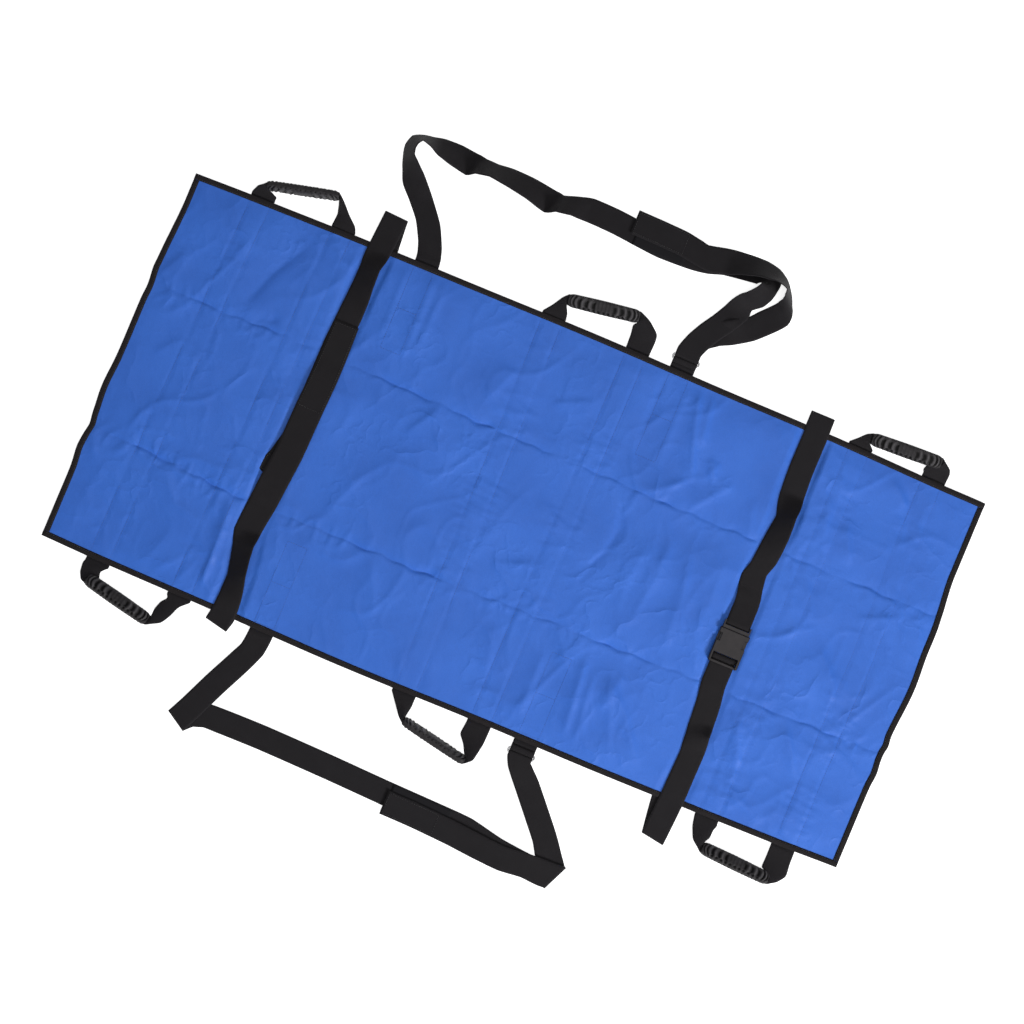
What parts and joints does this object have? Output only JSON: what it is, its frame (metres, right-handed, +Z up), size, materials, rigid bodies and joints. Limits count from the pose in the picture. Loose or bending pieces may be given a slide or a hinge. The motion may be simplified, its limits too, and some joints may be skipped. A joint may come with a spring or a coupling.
{
  "type": "patient carrying sheet",
  "caption": "Soft fabric carrying sheet for moving a lying person, with gripped webbing handles, shoulder straps on metal loops, a hook-and-loop strap and a buckled strap.",
  "frame": {"origin": "on the floor under the middle of the sheet", "axes": "+X along the sheet from its head end to its foot end, +Y across it to the long side that carries the left shoulder strap, +Z up"},
  "size_m": [1.716, 1.3262, 0.0504],
  "materials": {
    "sheet_fabric": "satin coated plain weave",
    "binding": "matt woven tape",
    "webbing": "matt to satin woven webbing",
    "hook_and_loop": "matt, rough pile",
    "grip_rubber": "satin moulded, ribbed",
    "loop_metal": "polished",
    "buckle_plastic": "satin moulded"
  },
  "bodies": {
    "sheet": {"sheet_panel": "sheet_fabric", "binding_left": "binding", "binding_right": "binding", "binding_head": "binding", "binding_foot": "binding", "carry_web_head_1": "webbing", "carry_web_head_2": "webbing", "carry_web_middle_1": "webbing", "carry_web_middle_2": "webbing", "carry_web_foot_1": "webbing", "carry_web_foot_2": "webbing", "chest_web": "webbing", "strap_end_left": "webbing", "strap_end_right": "webbing", "tab_end_left": "webbing", "tab_end_right": "webbing", "leg_strap_right": "webbing", "buckle_socket": "buckle_plastic"},
    "handle_head_left": {"handle_web_head_left": "webbing", "grip_head_left": "grip_rubber"},
    "handle_middle_left": {"handle_web_middle_left": "webbing", "grip_middle_left": "grip_rubber"},
    "handle_foot_left": {"handle_web_foot_left": "webbing", "grip_foot_left": "grip_rubber"},
    "handle_head_right": {"handle_web_head_right": "webbing", "grip_head_right": "grip_rubber"},
    "handle_middle_right": {"handle_web_middle_right": "webbing", "grip_middle_right": "grip_rubber"},
    "handle_foot_right": {"handle_web_foot_right": "webbing", "grip_foot_right": "grip_rubber"},
    "shoulder_left": {"shoulder_strap_left": "webbing", "metal_loop_left": "loop_metal", "loop_tab_left": "webbing", "loop_tape_left": "hook_and_loop", "hook_tape_left": "hook_and_loop"},
    "shoulder_right": {"shoulder_strap_right": "webbing", "metal_loop_right": "loop_metal", "loop_tab_right": "webbing", "loop_tape_right": "hook_and_loop", "hook_tape_right": "hook_and_loop"},
    "chest_left": {"chest_strap_left": "webbing", "chest_loop_tape": "hook_and_loop"},
    "chest_right": {"chest_strap_right": "webbing", "chest_hook_tape": "hook_and_loop"},
    "plug": {"leg_strap_left": "webbing", "buckle_plug": "buckle_plastic"},
    "prong_head_side": {"prong_head": "buckle_plastic"},
    "prong_foot_side": {"prong_foot": "buckle_plastic"}
  },
  "joints": [
    {"name": "handle_head_left_lift", "type": "hinge", "parent": "sheet", "child": "handle_head_left", "pos_m": [-0.6275, 0.40463, 0.0034], "axis": [1, 0, 0], "range_deg": [0, 100]},
    {"name": "handle_middle_left_lift", "type": "hinge", "parent": "sheet", "child": "handle_middle_left", "pos_m": [0.0045, 0.40889, 0.0034], "axis": [1, 0, 0], "range_deg": [0, 100]},
    {"name": "handle_foot_left_lift", "type": "hinge", "parent": "sheet", "child": "handle_foot_left", "pos_m": [0.66, 0.40397, 0.0034], "axis": [1, 0, 0], "range_deg": [0, 100]},
    {"name": "handle_head_right_lift", "type": "hinge", "parent": "sheet", "child": "handle_head_right", "pos_m": [-0.6495, -0.4043, 0.0034], "axis": [-1, 0, 0], "range_deg": [0, 100]},
    {"name": "handle_middle_right_lift", "type": "hinge", "parent": "sheet", "child": "handle_middle_right", "pos_m": [0.009, -0.40892, 0.0034], "axis": [-1, 0, 0], "range_deg": [0, 100]},
    {"name": "handle_foot_right_lift", "type": "hinge", "parent": "sheet", "child": "handle_foot_right", "pos_m": [0.664, -0.40394, 0.0034], "axis": [-1, 0, 0], "range_deg": [0, 100]},
    {"name": "shoulder_strap_left_swing", "type": "hinge", "parent": "sheet", "child": "shoulder_left", "pos_m": [-0.085, 0.409, 0.0034], "axis": [1, 0, 0], "range_deg": [0, 120]},
    {"name": "shoulder_strap_right_swing", "type": "hinge", "parent": "sheet", "child": "shoulder_right", "pos_m": [-0.095, -0.409, 0.0034], "axis": [-1, 0, 0], "range_deg": [0, 120]},
    {"name": "chest_strap_right_peel", "type": "hinge", "parent": "sheet", "child": "chest_right", "pos_m": [-0.469, -0.421, 0.0059], "axis": [1, 0, 0], "range_deg": [0, 150]},
    {"name": "chest_strap_left_lift", "type": "hinge", "parent": "sheet", "child": "chest_left", "pos_m": [-0.453, 0.466, 0.0059], "axis": [-1, 0, 0], "range_deg": [0, 75]},
    {"name": "buckle_plug_slide", "type": "slide", "parent": "sheet", "child": "plug", "axis": [0, 1, 0], "range_m": [0, 0.045]},
    {"name": "prong_head_press", "type": "hinge", "parent": "plug", "child": "prong_head_side", "pos_m": [0.4684, -0.0397, 0.0123], "axis": [0, 0, 1], "range_deg": [0, 5], "stiffness_Nm_per_rad": 0.6},
    {"name": "prong_foot_press", "type": "hinge", "parent": "plug", "child": "prong_foot_side", "pos_m": [0.5136, -0.0397, 0.0123], "axis": [0, 0, -1], "range_deg": [0, 5], "stiffness_Nm_per_rad": 0.6}
  ],
  "couplings": [
    {"joint": "chest_strap_left_lift", "follows": "chest_strap_right_peel", "ratio": 0.5},
    {"joint": "prong_foot_press", "follows": "prong_head_press", "ratio": 1}
  ]
}
